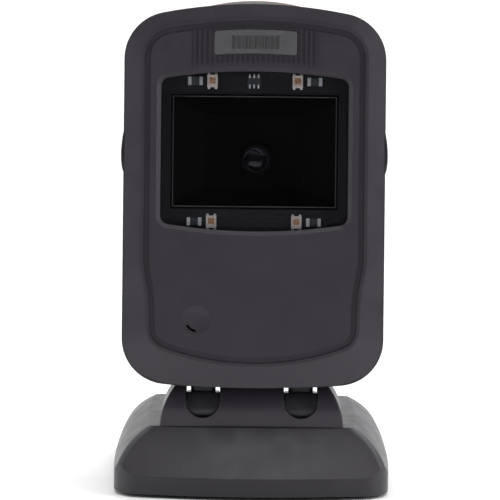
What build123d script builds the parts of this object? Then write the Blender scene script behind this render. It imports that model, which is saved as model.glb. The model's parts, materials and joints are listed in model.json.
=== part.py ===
"""Hands-free presentation barcode scanner: a tilting imager head on a weighted stand.

Millimetres, +Z up, the face looks along -Y.  The origin is on the table under the middle of the
stand.  Everything in the head is drawn upright, in head coordinates (x to the right, height above
the head's lowest edge, depth behind its foremost face), then leaned back about the pivot axis.
"""

from math import cos, radians, sin, sqrt, tan
import os

from build123d import *

os.makedirs("parts", exist_ok=True)

# ---------------------------------------------------------------- driving dimensions

# stand
STAND_HALF_WIDTH = 41.0
STAND_HALF_DEPTH = 40.0
FOOT_PROUD = 1.0
SKIRT_TOP_Z = 6.4
STAND_TOP_Z = 19.2
TOP_HALF_WIDTH = 31.0
TOP_FRONT_Y = -27.6
TOP_BACK_Y = 26.5
STAND_CORNER = 9.0
RIDGE_RADIUS = 2.5
ROOF_EDGE_RADIUS = 0.8
STAND_WALL = 2.2
BASE_PLATE_THICKNESS = 2.0
SKIRT_FRONT_BOW = 4.4
ROOF_FRONT_BOW = 0.8
POST_FOOT_Z = FOOT_PROUD + BASE_PLATE_THICKNESS + 0.2
BASE_SCREW_TIP_Z = 9.5
FOOT_SEAT_DEPTH = 0.8
FOOT_LENGTH = 16.0
FOOT_WIDTH = 8.0

# tilt joint
BARREL_RADIUS = 9.0
BARREL_HALF_LENGTH = 26.9
BARREL_END_RADIUS = 17.0
BARREL_END_ROUNDING = 0.6
BARREL_WALL = 1.6
PIVOT_Y = TOP_FRONT_Y + BARREL_RADIUS + 0.9
PIVOT_Z = 23.0
LEG_X = 14.4
LEG_WIDTH = 7.3
LEG_THICKNESS = 7.0
LEG_SEAT_HEIGHT = 6.8
LEG_PLATE_THICKNESS = 2.5
LEG_SCREW_TIP = 4.6
DRUM_RADIUS = 6.9
DRUM_WIDTH = 9.2
DRUM_FLAT = 5.0
SLOT_WIDTH = 10.0
SLOT_BOTTOM_Z = PIVOT_Z - 1.4
SHAFT_RADIUS = 2.0
SHAFT_SHOULDER_X = 21.6
SHAFT_END_PIECE = 1.4
WASHER_THICKNESS = 0.7
BRACKET_FLOOR_Z = 13.2
BRACKET_FLOOR_TOP_Z = 14.8
BRACKET_SHIFT = 2.5
REST_LEAN = 7.0

# head
HEAD_HALF_WIDTH = 38.25
HEAD_HEIGHT = 112.5
HEAD_BOTTOM_BOW = 270.0
HEAD_TOP_BOW = 138.0
HEAD_BOTTOM_CORNER = 13.4
HEAD_TOP_CORNER = 13.8
FACE_AHEAD_OF_PIVOT = 16.0
FACE_Y = PIVOT_Y - FACE_AHEAD_OF_PIVOT
HEAD_BOTTOM_Z = PIVOT_Z + 6.3
PIVOT_DEPTH = FACE_AHEAD_OF_PIVOT
SHADOW_LINE = 0.45
LIP_DEPTH = 5.0
LIP_GAP = 0.2
TONGUE_END_DEPTH = 7.5
TONGUE_INSET = 1.1
FRONT_WALL = 2.2
FRONT_CAVITY_DEPTH = 3.4
REAR_WALL = 2.4
BACK_DEPTH = 47.0
SADDLE_HALF_WIDTH = 27.2
SADDLE_RADIUS = BARREL_RADIUS + 1.0
LIP_CUT_HEIGHT = 0.7

# face panel inside the raised bead
PANEL_DEPTH = 0.4
BEAD_WIDTH = 0.9
GROOVE_WIDTH = 1.7
GROOVE_DEPTH = 0.8
BAND_SLOPE = 20.0

# scan window
WINDOW_HALF_WIDTH = 27.3
WINDOW_BOTTOM = 46.1
WINDOW_TOP = 92.7
WINDOW_MIDDLE = (WINDOW_BOTTOM + WINDOW_TOP) / 2
WINDOW_LIP_DEPTH = 1.9
GASKET_FRONT_DEPTH = 2.4
GASKET_THICKNESS = 0.4
PANE_FRONT_DEPTH = GASKET_FRONT_DEPTH + GASKET_THICKNESS
PANE_THICKNESS = 1.5
PANE_LAP = 1.6

# illumination board and the light-tight frame behind it
LED_BOARD_FRONT = 5.9
LED_BOARD_BACK = 6.9
LED_BOARD_HALF_WIDTH = 34.0
LED_BOARD_HALF_HEIGHT = 25.2
FRAME_FLANGE_BACK = 8.1
FRAME_HALF_WIDTH = 23.7
FRAME_HALF_HEIGHT = 15.95
FRAME_WALL = 0.7
FRAME_REAR_DEPTH = 15.0
FRAME_REAR_HALF_WIDTH = 14.0
FRAME_REAR_HALF_HEIGHT = 11.0
LED_X = 12.45
LED_ROW_OFFSET = 20.55
RESISTOR_X = 17.45
BOARD_SCREW_X = 32.0
BOARD_SCREW_OFFSET = 20.0

# camera
LENS_X = 0.5
LENS_HEIGHT = WINDOW_MIDDLE - 2.0
LENS_BARREL_RADIUS = 4.6
LENS_BARREL_FRONT = 11.5
LENS_BARREL_BACK = 19.0
LENS_RADIUS = 3.3
CAMERA_FRONT = FRAME_REAR_DEPTH + 1.2
CAMERA_BACK = 24.2
ENGINE_BOARD_BACK = CAMERA_BACK + 1.0
ENGINE_SCREW_X = 16.5

# main board
MAIN_BOARD_FRONT = 30.0
MAIN_BOARD_BACK = 31.6
MAIN_BOARD_BOTTOM = 26.0
MAIN_BOARD_TOP = 98.0
MAIN_BOARD_HALF_WIDTH = 27.0
MAIN_SCREW_X = 24.0
MAIN_SCREW_HEIGHTS = (30.0, 93.0)

# host cable socket
SOCKET_HEIGHT = 35.5
SOCKET_WIDTH = 15.0
SOCKET_TALL = 12.4
SOCKET_MOUTH_DEPTH = 44.5
PLUG_WIDTH = 11.9
PLUG_TALL = 6.8
PLUG_REACH = 9.5
MOUTH_RISE = 0.9

# casing screws
CASING_SCREW_X = 30.0
CASING_SCREW_HEIGHTS = (14.5, 99.0)
CASING_SEAT_DEPTH = 13.0

# trigger buttons in the sides of the rear casing
BUTTON_HEIGHT = 69.9
BUTTON_LENGTH = 14.6
BUTTON_DEPTH = 12.5
BUTTON_WIDTH = 8.0
BUTTON_PROUD = 0.8
BUTTON_GAP = 0.25
SWITCH_TIP_X = 32.5
SWITCH_PLUNGER = 0.7
SWITCH_BODY = 3.1

# beeper behind the slit in the lower left of the panel
BEEPER_X = -16.3
BEEPER_HEIGHT = 20.1
BEEPER_RADIUS = 5.5
DISH_RADIUS = 4.3
DISH_DEPTH = 0.3

# nameplate and the ribbed patch it sits on
NAMEPLATE_HALF_WIDTH = 11.95
NAMEPLATE_BOTTOM = 97.2
NAMEPLATE_TOP = 104.8
RIB_PATCH_HALF_WIDTH = 17.65
RIB_PITCH = RIB_PATCH_HALF_WIDTH / 12
RIB_WIDTH = 0.45
RIB_PROUD = 0.35

# light pipe along the top edge
LIGHT_PIPE_HALF_WIDTH = 15.0
LIGHT_PIPE_FRONT = 8.4
LIGHT_PIPE_BACK = 14.2
LIGHT_PIPE_PROUD = 1.2

PIVOT_AXIS = Axis((0, PIVOT_Y, PIVOT_Z), (1, 0, 0))


# ---------------------------------------------------------------- drawing helpers

def face_plane(depth):
    """The plane of the head's face, moved back by depth; its y axis is height in the head."""
    return Plane(origin=(0, FACE_Y + depth, HEAD_BOTTOM_Z), x_dir=(1, 0, 0), z_dir=(0, -1, 0))


def slab(profile, front_depth, back_depth):
    """A profile drawn in head coordinates, filled from one depth to another."""
    return extrude(face_plane(back_depth) * profile, back_depth - front_depth)


def funnel(front_profile, front_depth, back_profile, back_depth):
    """A straight-sided solid between two like profiles at two depths."""
    sections = [face_plane(front_depth) * front_profile, face_plane(back_depth) * back_profile]
    return loft(sections, ruled=True)


def rod(x, height, radius, front_depth, back_depth):
    """A round bar along the head's depth."""
    return slab(Pos(x, height) * Circle(radius), front_depth, back_depth)


def block(x, height, width, tall, front_depth, back_depth):
    """A rectangular block centred on x and height in the head."""
    return slab(Pos(x, height) * Rectangle(width, tall), front_depth, back_depth)


def soft_block(x, height, width, tall, front_depth, back_depth, corner):
    """A block with rounded corners as seen from the front."""
    return slab(Pos(x, height) * RectangleRounded(width, tall, corner), front_depth, back_depth)


def layer(profile, bottom_z, top_z):
    """A profile drawn in plan, filled from one level of the stand to another."""
    return extrude(Plane.XY.offset(bottom_z) * profile, top_z - bottom_z)


def cross_bar(radius, left_x, right_x):
    """A round bar on the pivot axis."""
    plane = Plane(origin=(left_x, PIVOT_Y, PIVOT_Z), x_dir=(0, 1, 0), z_dir=(1, 0, 0))
    return extrude(plane * Circle(radius), right_x - left_x)


def side_plane(x):
    """A plane facing +X at x; its x axis is depth in the head and its y axis is height."""
    return Plane(origin=(x, FACE_Y, HEAD_BOTTOM_Z), x_dir=(0, 1, 0), z_dir=(1, 0, 0))


def leaned(shape):
    """An upright head part, leaned back to the rest position."""
    return shape.rotate(PIVOT_AXIS, -REST_LEAN)


def mirrored_pair(shape):
    """A shape on the right together with its mirror image on the left."""
    return Compound(children=[*shape.solids(), *mirror(shape, about=Plane.YZ).solids()])


def group(shapes):
    """Several like solids kept apart in one node."""
    solids = []
    for shape in shapes:
        solids.extend(shape.solids())
    return Compound(children=solids)


def save(shape, name):
    """Write one node; a single solid is written as itself."""
    solids = shape.solids()
    shape = solids[0] if len(solids) == 1 else Compound(children=list(solids))
    export_step(shape, f"parts/{name}.step")


def sagitta(radius, half_chord):
    """How far an arc of this radius bulges over its chord."""
    return radius - sqrt(radius * radius - half_chord * half_chord)


def round_at(profile, radius, *heights):
    """Round those corners of a profile that lie at the given y values."""
    tolerance = 0.01
    corners = [v for v in profile.vertices() if min(abs(v.Y - h) for h in heights) < tolerance]
    return fillet(corners, radius)


def bowed_outline(half_width, bottom, top, bottom_radius, top_radius, bottom_corner, top_corner):
    """Straight sides, with the bottom and top edges bowed outwards and all corners rounded."""
    low = bottom + sagitta(bottom_radius, half_width)
    high = top - sagitta(top_radius, half_width)
    outline = ThreePointArc((-half_width, low), (0, bottom), (half_width, low))
    outline += Line((half_width, low), (half_width, high))
    outline += ThreePointArc((half_width, high), (0, top), (-half_width, high))
    outline += Line((-half_width, high), (-half_width, low))
    profile = make_face(outline)
    profile = round_at(profile, bottom_corner, low)
    return round_at(profile, top_corner, high)


def head_outline():
    """The head's outer edge as seen from the front."""
    return bowed_outline(
        HEAD_HALF_WIDTH,
        0,
        HEAD_HEIGHT,
        HEAD_BOTTOM_BOW,
        HEAD_TOP_BOW,
        HEAD_BOTTOM_CORNER,
        HEAD_TOP_CORNER,
    )


def bead_outline():
    """The line of the bead's crest: wide beside the window, drawn in below it."""
    upper_half_width = 32.5
    lower_half_width = 30.9
    foot_half_width = 30.4
    bend_top = 36.5
    bend_bottom = 27.5
    bottom = 7.2
    top = 107.8
    low = bottom + sagitta(78, foot_half_width)
    high = top - sagitta(132, upper_half_width)
    right = Polyline(
        (foot_half_width, low),
        (lower_half_width, bend_bottom),
        (upper_half_width, bend_top),
        (upper_half_width, high),
    )
    left = Polyline(
        (-upper_half_width, high),
        (-upper_half_width, bend_top),
        (-lower_half_width, bend_bottom),
        (-foot_half_width, low),
    )
    outline = ThreePointArc((-foot_half_width, low), (0, bottom), (foot_half_width, low))
    outline += right
    outline += ThreePointArc((upper_half_width, high), (0, top), (-upper_half_width, high))
    outline += left
    profile = make_face(outline)
    profile = round_at(profile, 6.5, low)
    profile = round_at(profile, 8.8, high)
    return round_at(profile, 20, bend_top, bend_bottom)


def window_outline(growth):
    """The visible pane's edge, grown outwards by the given amount."""
    return bowed_outline(
        WINDOW_HALF_WIDTH + growth,
        WINDOW_BOTTOM - growth,
        WINDOW_TOP + growth,
        164,
        164,
        2.6 + growth,
        2.6 + growth,
    )


def nameplate_outline(growth):
    """The nameplate's edge: its top and bottom follow the arch of the head's top edge."""
    half_width = NAMEPLATE_HALF_WIDTH + growth
    arch = sagitta(HEAD_TOP_BOW, half_width)
    bottom = NAMEPLATE_BOTTOM - growth
    top = NAMEPLATE_TOP + growth
    outline = ThreePointArc((-half_width, bottom), (0, bottom + arch), (half_width, bottom))
    outline += Line((half_width, bottom), (half_width, top - arch))
    outline += ThreePointArc((half_width, top - arch), (0, top), (-half_width, top - arch))
    outline += Line((-half_width, top - arch), (-half_width, bottom))
    profile = make_face(outline)
    return fillet(profile.vertices(), 0.6)


def both_sides(x_values):
    """Each x value and its mirror image."""
    return [side * x for x in x_values for side in (-1, 1)]


CASING_SCREW_SPOTS = [(x, h) for x in both_sides([CASING_SCREW_X]) for h in CASING_SCREW_HEIGHTS]
MAIN_SCREW_SPOTS = [(x, h) for x in both_sides([MAIN_SCREW_X]) for h in MAIN_SCREW_HEIGHTS]
BOARD_SCREW_SPOTS = [
    (x, WINDOW_MIDDLE + offset)
    for x in both_sides([BOARD_SCREW_X])
    for offset in (-BOARD_SCREW_OFFSET, BOARD_SCREW_OFFSET)
]
LED_SPOTS = [
    (x, WINDOW_MIDDLE + offset)
    for x in both_sides([LED_X])
    for offset in (-LED_ROW_OFFSET, LED_ROW_OFFSET)
]
RESISTOR_SPOTS = [
    (x, WINDOW_MIDDLE + offset)
    for x in both_sides([RESISTOR_X])
    for offset in (-LED_ROW_OFFSET, LED_ROW_OFFSET)
]


# ---------------------------------------------------------------- head: casings

def front_casing():
    """The face: a band sloping back from a raised bead, a groove, and a flat panel inside it."""
    outline = head_outline()
    crest = bead_outline()
    edge = offset(outline, -SHADOW_LINE)
    band_reach = 9.0
    band_fall = band_reach * tan(radians(BAND_SLOPE))
    bead_outer = offset(crest, BEAD_WIDTH / 2)
    bead_inner = offset(crest, -BEAD_WIDTH / 2)
    panel = offset(crest, -BEAD_WIDTH / 2 - GROOVE_WIDTH)
    band_start = 0.35

    far_edge = offset(bead_outer, band_reach)
    envelope = funnel(bead_outer, band_start, far_edge, band_start + band_fall)
    envelope += slab(far_edge, band_start + band_fall, LIP_DEPTH)
    casing = slab(edge, band_start, LIP_DEPTH) & envelope
    casing += slab(bead_outer, 0, band_start)
    casing += slab(offset(outline, -TONGUE_INSET), LIP_DEPTH, TONGUE_END_DEPTH)
    casing -= slab(offset(outline, -SHADOW_LINE - FRONT_WALL), FRONT_CAVITY_DEPTH, TONGUE_END_DEPTH)

    casing -= slab(bead_inner, 0, PANEL_DEPTH)
    casing -= slab(bead_inner - panel, 0, GROOVE_DEPTH)

    casing -= funnel(window_outline(1.2), PANEL_DEPTH, window_outline(0), WINDOW_LIP_DEPTH)
    casing -= slab(window_outline(0), WINDOW_LIP_DEPTH, GASKET_FRONT_DEPTH)
    casing -= slab(window_outline(PANE_LAP + 0.15), GASKET_FRONT_DEPTH, FRONT_CAVITY_DEPTH)

    casing += nameplate_ribs() & slab(panel, 0, GROOVE_DEPTH)
    casing -= slab(nameplate_outline(0.1), 0, PANEL_DEPTH + 0.6)

    casing -= beeper_dish()
    casing -= beeper_slit()
    casing += rod(BEEPER_X, BEEPER_HEIGHT, BEEPER_RADIUS + 1.4, FRONT_CAVITY_DEPTH, 6.0)
    casing -= rod(BEEPER_X, BEEPER_HEIGHT, BEEPER_RADIUS + 0.2, FRONT_CAVITY_DEPTH, 6.0)

    for x, height in CASING_SCREW_SPOTS:
        casing += rod(x, height, 3.2, FRONT_CAVITY_DEPTH, 9.4)
        casing -= rod(x, height, 1.25, 4.4, 9.4)
    for x, height in BOARD_SCREW_SPOTS:
        casing += rod(x, height, 2.0, FRONT_CAVITY_DEPTH, LED_BOARD_FRONT)
        casing -= rod(x, height, 0.95, 3.9, LED_BOARD_FRONT)
    return casing


def nameplate_ribs():
    """Fine upright ribs across the patch that the nameplate sits on."""
    ribs = None
    margin = 1.8
    for step in range(-12, 13):
        x = step * RIB_PITCH
        arch = sagitta(HEAD_TOP_BOW, abs(x))
        bottom = NAMEPLATE_BOTTOM - margin - arch
        top = NAMEPLATE_TOP + margin - arch
        middle = (bottom + top) / 2
        rib = block(x, middle, RIB_WIDTH, top - bottom, PANEL_DEPTH - RIB_PROUD, PANEL_DEPTH + 0.1)
        ribs = rib if ribs is None else ribs + rib
    return ribs


def beeper_dish():
    """A shallow round dish in the panel in front of the beeper."""
    sphere_radius = (DISH_RADIUS ** 2 + DISH_DEPTH ** 2) / (2 * DISH_DEPTH)
    centre_y = FACE_Y + PANEL_DEPTH + DISH_DEPTH - sphere_radius
    return Pos(BEEPER_X, centre_y, HEAD_BOTTOM_Z + BEEPER_HEIGHT) * Sphere(sphere_radius)


def beeper_slit():
    """The sound slit: a short arc round the dish's centre, through the wall."""
    middle_radius = 3.1
    half_width = 0.325
    half_angle = 30.0
    lean = -35.0
    ring = Circle(middle_radius + half_width) - Circle(middle_radius - half_width)
    reach = middle_radius + 2
    left = Rot(0, 0, -90 - half_angle + lean) * Pos(reach, 0)
    right = Rot(0, 0, -90 + half_angle + lean) * Pos(reach, 0)
    wedge = make_face(Polyline((0, 0), left.position, right.position, (0, 0)))
    slit = Pos(BEEPER_X, BEEPER_HEIGHT) * (ring & wedge)
    return slab(slit, 0, FRONT_CAVITY_DEPTH)


def rear_section(depth):
    """The rear casing's outer section at a depth: full size at the lip, drawn in towards the back."""
    taper = max(0.0, (depth - LIP_DEPTH) / (BACK_DEPTH - LIP_DEPTH))
    half_width = HEAD_HALF_WIDTH - 14.5 * taper ** 3.2
    bottom = 33.0 * taper ** 3
    top = HEAD_HEIGHT - 19.0 * taper ** 2.8
    bottom_corner = HEAD_BOTTOM_CORNER - taper
    top_corner = HEAD_TOP_CORNER + 2 * taper
    return bowed_outline(half_width, bottom, top, HEAD_BOTTOM_BOW, HEAD_TOP_BOW, bottom_corner, top_corner)


def rear_body(inset, end_depth):
    """The rear casing's filled shape, pulled in on all sides by inset."""
    start = LIP_DEPTH + LIP_GAP
    steps = 6
    sections = []
    for step in range(steps + 1):
        depth = start + (BACK_DEPTH - start) * step / steps
        profile = rear_section(depth)
        if inset:
            profile = offset(profile, -inset)
        drawn_depth = start + (end_depth - start) * step / steps
        sections.append(face_plane(drawn_depth) * profile)
    return loft(sections)


def rear_casing():
    """The tub behind the face, with its screw posts, board posts and button ribs."""
    outer = rear_body(0, BACK_DEPTH)
    outer = fillet(outer.faces().sort_by(Axis.Y)[-1].edges(), 3.0)
    inner = rear_body(REAR_WALL, BACK_DEPTH - REAR_WALL)
    lip_start = LIP_DEPTH + LIP_GAP
    rim = slab(offset(head_outline(), -TONGUE_INSET + LIP_GAP), lip_start, TONGUE_END_DEPTH + LIP_GAP)
    casing = outer - inner - rim

    posts = None
    for x, height in CASING_SCREW_SPOTS:
        post = rod(x, height, 4.2, 9.6, BACK_DEPTH)
        posts = post if posts is None else posts + post
    for x, height in MAIN_SCREW_SPOTS:
        posts += rod(x, height, 2.8, MAIN_BOARD_BACK, BACK_DEPTH)
    posts += bracket_seat()
    posts += switch_ribs()
    casing += posts & outer

    for x, height in CASING_SCREW_SPOTS:
        casing -= rod(x, height, 1.4, 9.6, BACK_DEPTH)
        casing -= rod(x, height, 2.8, CASING_SEAT_DEPTH, BACK_DEPTH)
    for x, height in MAIN_SCREW_SPOTS:
        casing -= rod(x, height, 1.0, MAIN_BOARD_BACK, MAIN_BOARD_BACK + 5)
    leg_front = PIVOT_DEPTH - LEG_THICKNESS / 2 - 0.3
    leg_back = PIVOT_DEPTH + LEG_THICKNESS / 2 + 0.3
    for x in both_sides([LEG_X]):
        casing -= block(x, 3, LEG_WIDTH + 0.6, 8, leg_front, leg_back)
    for x, depth in bracket_screw_spots():
        casing -= upright_rod(x, depth, 1.25, LEG_SCREW_TIP - 0.2, LEG_SEAT_HEIGHT)
    casing -= cross_bar(SADDLE_RADIUS, -SADDLE_HALF_WIDTH, SADDLE_HALF_WIDTH)
    casing -= block(0, LIP_CUT_HEIGHT - 5, 2 * SADDLE_HALF_WIDTH, 10, LIP_DEPTH, PIVOT_DEPTH)
    casing -= light_pipe_bar(0.15)
    for side in (-1, 1):
        casing -= button_prism(side, BUTTON_GAP, 30, 45)
    port_width = SOCKET_WIDTH + 0.6
    port_tall = SOCKET_TALL + 0.6
    port_start = SOCKET_MOUTH_DEPTH - 4
    casing -= soft_block(0, SOCKET_HEIGHT, port_width, port_tall, port_start, BACK_DEPTH + 1, 1.0)
    return casing


def bracket_seat():
    """The thick floor inside the rear casing that the leg bracket is screwed down on."""
    return block(0, LEG_SEAT_HEIGHT / 2, 48, LEG_SEAT_HEIGHT, PIVOT_DEPTH - 7, PIVOT_DEPTH + 7)


def switch_ribs():
    """Ribs above and below each trigger switch that hold its small board."""
    ribs = None
    for side in (-1, 1):
        for end in (-1, 1):
            height = BUTTON_HEIGHT + end * 10.4
            rib = block(side * 31.5, height, 11, 1.8, 9.8, 17.2)
            ribs = rib if ribs is None else ribs + rib
    return ribs


def bracket_screw_spots():
    """Where the leg bracket's screws stand, as x and depth."""
    return [(x, PIVOT_DEPTH) for x in both_sides([7.0, 21.0])]


def upright_rod(x, depth, radius, bottom, top):
    """An upright round bar at a depth in the head, from one height to another."""
    profile = Pos(x, FACE_Y + depth) * Circle(radius)
    return layer(profile, HEAD_BOTTOM_Z + bottom, HEAD_BOTTOM_Z + top)


# ---------------------------------------------------------------- head: window and trim

def scan_window():
    """The clear pane, seated from behind."""
    return slab(window_outline(PANE_LAP), PANE_FRONT_DEPTH, PANE_FRONT_DEPTH + PANE_THICKNESS)


def window_gasket():
    """The adhesive foam ring between the casing's lip and the pane."""
    ring = window_outline(PANE_LAP) - window_outline(0.2)
    return slab(ring, GASKET_FRONT_DEPTH, PANE_FRONT_DEPTH)


def nameplate():
    """A blank arched plate let into the ribbed patch."""
    plate = slab(nameplate_outline(0), PANEL_DEPTH - 0.25, PANEL_DEPTH + 0.6)
    front_edges = plate.faces().sort_by(Axis.Y)[0].edges()
    return chamfer(front_edges, 0.2)


def light_pipe_bar(growth):
    """The crescent along the top edge, grown by the given clearance."""
    half_width = LIGHT_PIPE_HALF_WIDTH + growth
    floor = HEAD_HEIGHT - 4.0 - growth
    shoulder = HEAD_HEIGHT - sagitta(HEAD_TOP_BOW, LIGHT_PIPE_HALF_WIDTH) + growth
    crown = HEAD_HEIGHT + LIGHT_PIPE_PROUD + growth
    outline = ThreePointArc((half_width, shoulder), (0, crown), (-half_width, shoulder))
    outline += Polyline(
        (-half_width, shoulder), (-half_width, floor), (half_width, floor), (half_width, shoulder)
    )
    return slab(make_face(outline), LIGHT_PIPE_FRONT - growth, LIGHT_PIPE_BACK + growth)


def indicator_light_pipe():
    """The milky bar that shows the reading light, with a stem down to the status light."""
    stem = block(0, 102.5, 7, 14, LIGHT_PIPE_FRONT, LIGHT_PIPE_FRONT + 2.4)
    return light_pipe_bar(0) + stem


def status_led():
    """The small light under the light pipe's stem, on the back of the illumination board."""
    return block(0, WINDOW_MIDDLE + 24.0, 3.2, 2.0, LED_BOARD_BACK, LED_BOARD_BACK + 3.4)


# ---------------------------------------------------------------- head: illumination and camera

def illumination_board():
    """The circuit board round the camera's view, carrying the lights."""
    width = 2 * LED_BOARD_HALF_WIDTH
    tall = 2 * LED_BOARD_HALF_HEIGHT
    board = soft_block(0, WINDOW_MIDDLE, width, tall, LED_BOARD_FRONT, LED_BOARD_BACK, 2)
    clear_width = 2 * (FRAME_HALF_WIDTH + FRAME_WALL + 0.2)
    clear_tall = 2 * (FRAME_HALF_HEIGHT + FRAME_WALL + 0.2)
    board -= block(0, WINDOW_MIDDLE, clear_width, clear_tall, LED_BOARD_FRONT, LED_BOARD_BACK)
    for x, height in BOARD_SCREW_SPOTS:
        board -= rod(x, height, 1.1, LED_BOARD_FRONT, LED_BOARD_BACK)
    return board


def illumination_leds():
    """Four top-firing packages, each with a square well for its chip."""
    package_height = 1.1
    leds = []
    for x, height in LED_SPOTS:
        body = block(x, height, 3.0, 3.6, LED_BOARD_FRONT - package_height, LED_BOARD_FRONT)
        body -= block(x, height + 0.2, 2.2, 2.2, LED_BOARD_FRONT - package_height, LED_BOARD_FRONT - 0.5)
        leds.append(body)
    return group(leds)


def led_resistors():
    """Four current-limiting resistors beside the lights."""
    return group([block(x, h, 4.2, 2.3, LED_BOARD_FRONT - 0.6, LED_BOARD_FRONT) for x, h in RESISTOR_SPOTS])


def light_sensor_chip():
    """The ambient light sensor in the middle of the upper row."""
    return block(-0.3, WINDOW_MIDDLE + LED_ROW_OFFSET, 3.8, 3.0, LED_BOARD_FRONT - 0.8, LED_BOARD_FRONT)


def aperture_frame():
    """The light-tight funnel between the pane and the camera, with a flange at each end."""
    middle = Pos(0, WINDOW_MIDDLE)
    front_depth = LED_BOARD_FRONT - 0.5
    inner_front = middle * Rectangle(2 * FRAME_HALF_WIDTH, 2 * FRAME_HALF_HEIGHT)
    inner_rear = middle * Rectangle(2 * FRAME_REAR_HALF_WIDTH, 2 * FRAME_REAR_HALF_HEIGHT)
    outer_front = offset(inner_front, FRAME_WALL, kind=Kind.INTERSECTION)
    outer_rear = offset(inner_rear, FRAME_WALL, kind=Kind.INTERSECTION)
    flange = soft_block(0, WINDOW_MIDDLE, 67, 44.5, LED_BOARD_BACK, FRAME_FLANGE_BACK, 2)
    flange -= slab(inner_front, LED_BOARD_BACK, FRAME_FLANGE_BACK)
    frame = slab(outer_front - inner_front, front_depth, FRAME_FLANGE_BACK) + flange
    funnel_walls = funnel(outer_front, FRAME_FLANGE_BACK, outer_rear, FRAME_REAR_DEPTH)
    funnel_walls -= funnel(inner_front, FRAME_FLANGE_BACK, inner_rear, FRAME_REAR_DEPTH)
    rear_flange = soft_block(0, WINDOW_MIDDLE, 38, 27, FRAME_REAR_DEPTH, CAMERA_FRONT, 1.5)
    rear_flange -= slab(inner_rear, FRAME_REAR_DEPTH, CAMERA_FRONT)
    frame += funnel_walls + rear_flange
    for x, height in BOARD_SCREW_SPOTS:
        frame -= rod(x, height, 1.1, LED_BOARD_BACK, FRAME_FLANGE_BACK)
    for x in both_sides([ENGINE_SCREW_X]):
        frame -= rod(x, WINDOW_MIDDLE, 0.85, FRAME_REAR_DEPTH, CAMERA_FRONT)
    return frame


def board_screws():
    """Screws through the frame's flange and the illumination board into the face casing."""
    return group([screw(x, h, 0.9, 1.8, 4.2, FRAME_FLANGE_BACK, 1.2) for x, h in BOARD_SCREW_SPOTS])


def screw(x, height, shank_radius, head_radius, tip_depth, seat_depth, head_thickness):
    """A pan-head cross-recess screw driven forwards: its head lies behind seat_depth."""
    body = rod(x, height, shank_radius, tip_depth, seat_depth)
    head = rod(x, height, head_radius, seat_depth, seat_depth + head_thickness)
    recess_length = head_radius * 1.1
    recess_width = head_radius * 0.28
    recess_start = seat_depth + head_thickness * 0.45
    head -= block(x, height, recess_length, recess_width, recess_start, seat_depth + head_thickness)
    head -= block(x, height, recess_width, recess_length, recess_start, seat_depth + head_thickness)
    return body + head


def camera_housing():
    """The block that holds the lens barrel in front of the image sensor."""
    housing = soft_block(0, WINDOW_MIDDLE, 36, 26, CAMERA_FRONT, CAMERA_BACK, 1.5)
    housing -= rod(LENS_X, LENS_HEIGHT, LENS_BARREL_RADIUS + 0.05, CAMERA_FRONT, CAMERA_BACK)
    for x in both_sides([ENGINE_SCREW_X]):
        housing -= rod(x, WINDOW_MIDDLE, 0.95, CAMERA_FRONT, CAMERA_BACK)
    return housing


def lens_barrel():
    """The threaded barrel, stepped inside to seat the front element."""
    barrel = rod(LENS_X, LENS_HEIGHT, LENS_BARREL_RADIUS, LENS_BARREL_FRONT, LENS_BARREL_BACK)
    barrel -= rod(LENS_X, LENS_HEIGHT, LENS_RADIUS + 0.05, LENS_BARREL_FRONT, LENS_BARREL_FRONT + 3.0)
    barrel -= rod(LENS_X, LENS_HEIGHT, LENS_RADIUS - 0.6, LENS_BARREL_FRONT, LENS_BARREL_BACK)
    front_rim = barrel.faces().sort_by(Axis.Y)[0].edges().sort_by(SortBy.LENGTH)[-1]
    return chamfer(front_rim, 0.5)


def lens_glass():
    """The front element: flat behind, domed in front."""
    back = LENS_BARREL_FRONT + 2.9
    edge_front = back - 1.2
    dome = 0.8
    sphere_radius = (LENS_RADIUS ** 2 + dome ** 2) / (2 * dome)
    centre_y = FACE_Y + edge_front - dome + sphere_radius
    ball = Pos(LENS_X, centre_y, HEAD_BOTTOM_Z + LENS_HEIGHT) * Sphere(sphere_radius)
    return rod(LENS_X, LENS_HEIGHT, LENS_RADIUS, edge_front - dome, back) & ball


def image_sensor():
    """The sensor chip inside the housing, on the front of the engine board."""
    return block(LENS_X, LENS_HEIGHT, 6.4, 5.4, CAMERA_BACK - 1.2, CAMERA_BACK)


def engine_board():
    """The circuit board that closes the back of the camera."""
    board = soft_block(0, WINDOW_MIDDLE, 38, 30, CAMERA_BACK, ENGINE_BOARD_BACK, 1.5)
    for x in both_sides([ENGINE_SCREW_X]):
        board -= rod(x, WINDOW_MIDDLE, 0.95, CAMERA_BACK, ENGINE_BOARD_BACK)
    return board


def engine_screws():
    """Two long screws through the board and the housing into the frame."""
    tip = FRAME_REAR_DEPTH + 0.1
    spots = both_sides([ENGINE_SCREW_X])
    return group([screw(x, WINDOW_MIDDLE, 0.8, 1.6, tip, ENGINE_BOARD_BACK, 1.1) for x in spots])


# ---------------------------------------------------------------- head: electronics

def flex_cable():
    """The ribbon that turns back from the engine board to the main board."""
    thickness = 0.25
    front = ENGINE_BOARD_BACK + thickness / 2
    back = MAIN_BOARD_FRONT - thickness / 2
    low = WINDOW_MIDDLE + 4
    high = WINDOW_MIDDLE + 12
    turn = (back - front) / 2
    path = Line((front, low), (front, high))
    path += ThreePointArc((front, high), (front + turn, high + turn), (back, high))
    path += Line((back, high), (back, low))
    ribbon = trace(path, thickness)
    width = 11.0
    return extrude(side_plane(-width / 2) * ribbon, width)


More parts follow.
